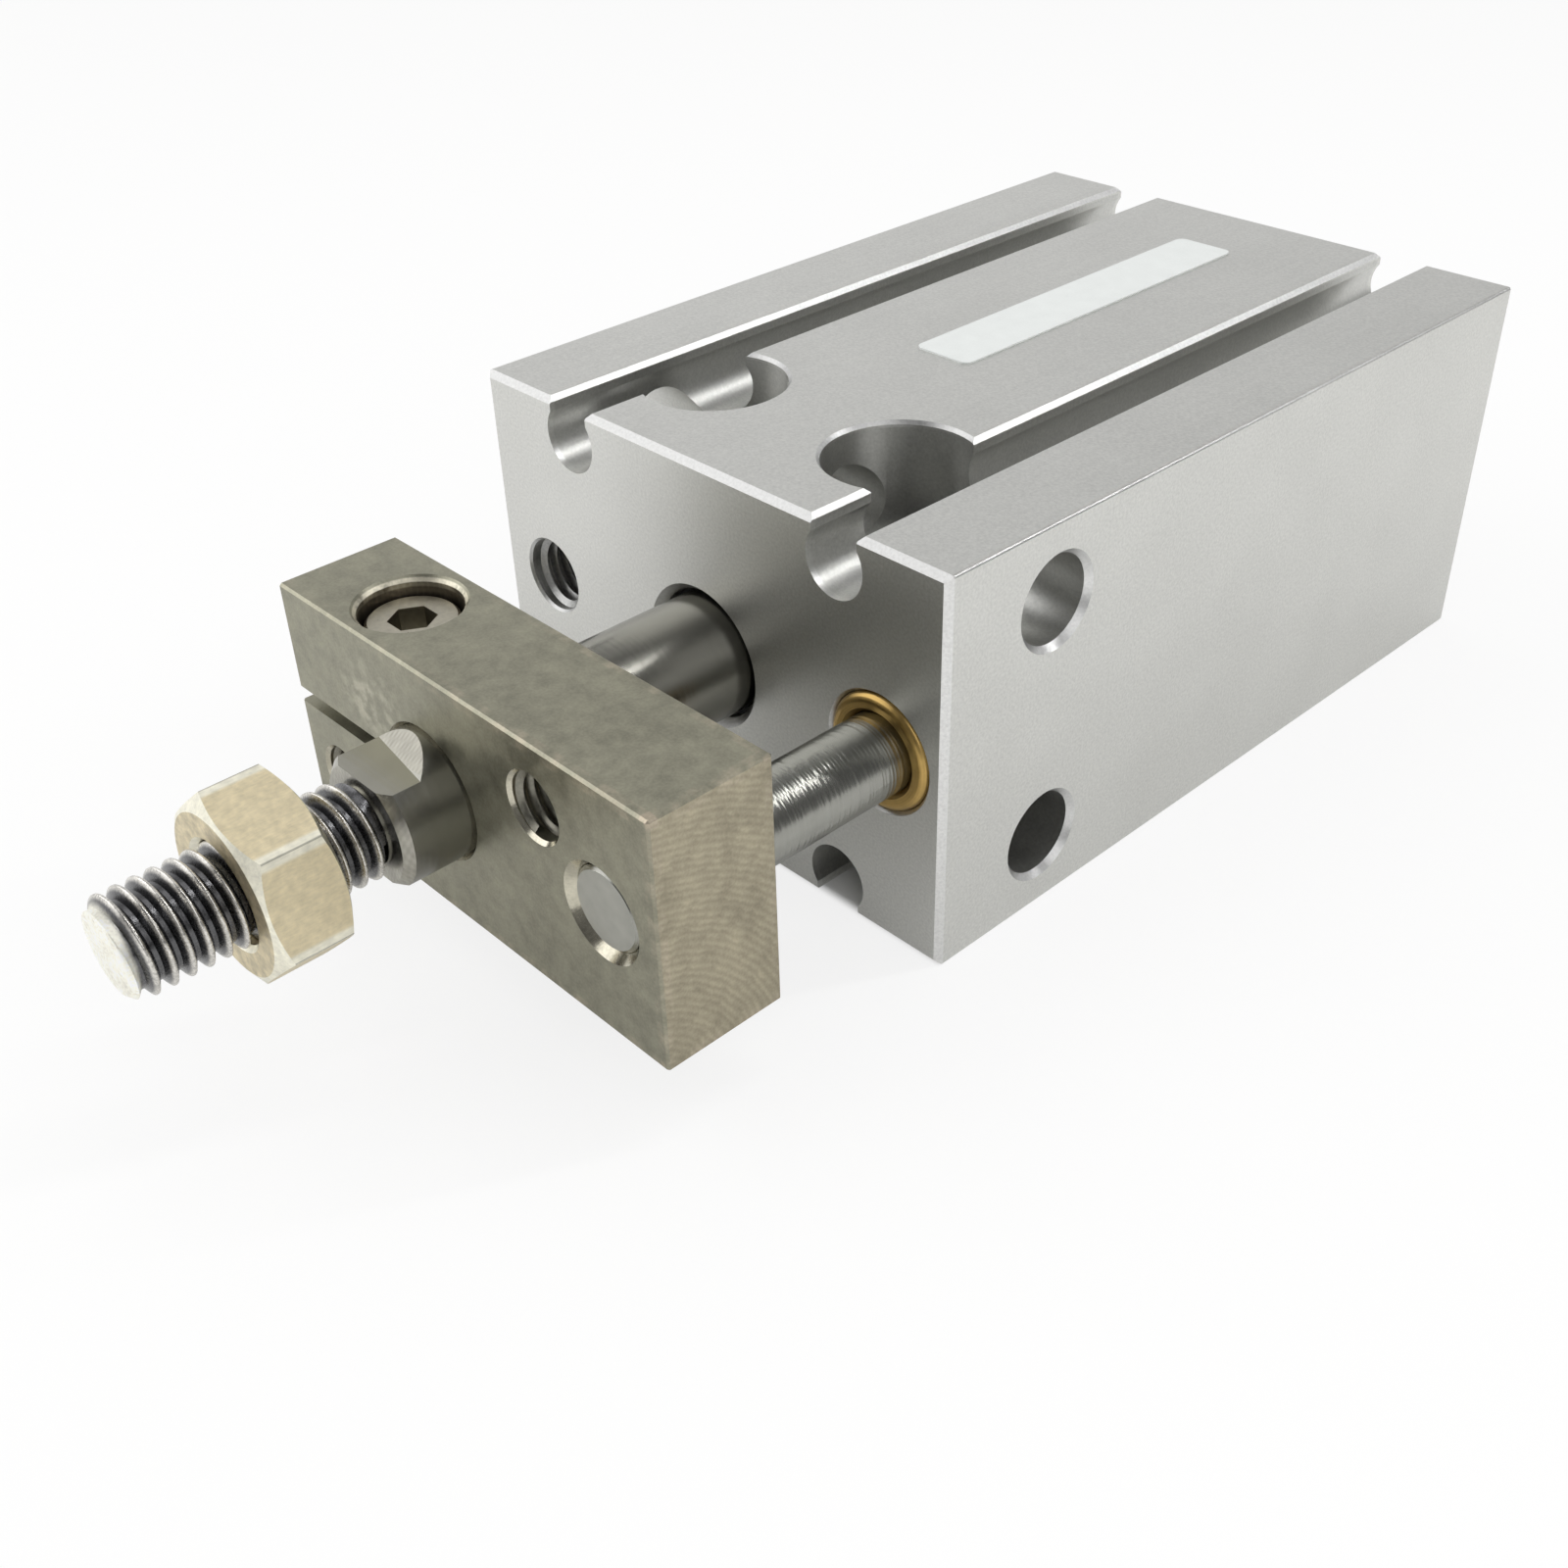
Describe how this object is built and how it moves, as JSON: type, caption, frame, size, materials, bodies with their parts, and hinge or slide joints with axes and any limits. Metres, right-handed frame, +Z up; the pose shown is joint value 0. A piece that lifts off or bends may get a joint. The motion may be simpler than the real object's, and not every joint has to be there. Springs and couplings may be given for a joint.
{
  "type": "free mount cylinder",
  "caption": "Compact block pneumatic cylinder with counterbored mounting holes, switch grooves, a threaded rod end and a clamped plate with a parallel guide rod against rotation.",
  "frame": {"origin": "on the bottom face of the body, midway between the two upright mounting holes and below the rod's axis", "axes": "+X towards the guide rod, +Y along the rod towards the closed rear end, +Z up through the body; the rod points to -Y"},
  "size_m": [0.04, 0.0963, 0.0261],
  "materials": {
    "body_aluminium": "clear anodised, satin",
    "cover_aluminium": "turned and clear anodised",
    "piston_aluminium": "turned",
    "bush_brass": "turned",
    "seal_rubber": "moulded, matt",
    "bumper_rubber": "moulded, matt",
    "spring_steel": "phosphated spring steel",
    "label_foil": "silvery film",
    "rod_steel": "ground and plated",
    "magnet_plastic": "moulded, magnet powder in plastic",
    "wear_plastic": "moulded strip",
    "screw_steel": "zinc plated",
    "plate_steel": "nickel plated, ground faces",
    "guide_steel": "ground and polished",
    "nut_steel": "plated"
  },
  "bodies": {
    "cylinder": {"body": "body_aluminium", "guide_bush_front": "bush_brass", "guide_bush_rear": "bush_brass", "rod_bush": "bush_brass", "rod_seal": "seal_rubber", "bumper_front": "bumper_rubber", "bumper_rear": "bumper_rubber", "head_cover": "cover_aluminium", "head_cover_ring": "seal_rubber", "retaining_ring": "spring_steel", "label": "label_foil"},
    "rod": {"piston_rod": "rod_steel", "piston_front": "piston_aluminium", "piston_rear": "piston_aluminium", "magnet": "magnet_plastic", "piston_seal": "seal_rubber", "wear_ring": "wear_plastic", "piston_screw": "screw_steel", "guide_plate": "plate_steel", "clamp_screw": "screw_steel", "guide_rod": "guide_steel"},
    "nut": {"rod_end_nut": "nut_steel"}
  },
  "joints": [
    {"name": "rod_slide", "type": "slide", "parent": "cylinder", "child": "rod", "axis": [0, -1, 0], "range_m": [0, 0.01]},
    {"name": "nut_turn", "type": "hinge", "parent": "rod", "child": "nut", "pos_m": [0, -0.0395, 0.013], "axis": [0, -1, 0], "continuous": true}
  ]
}
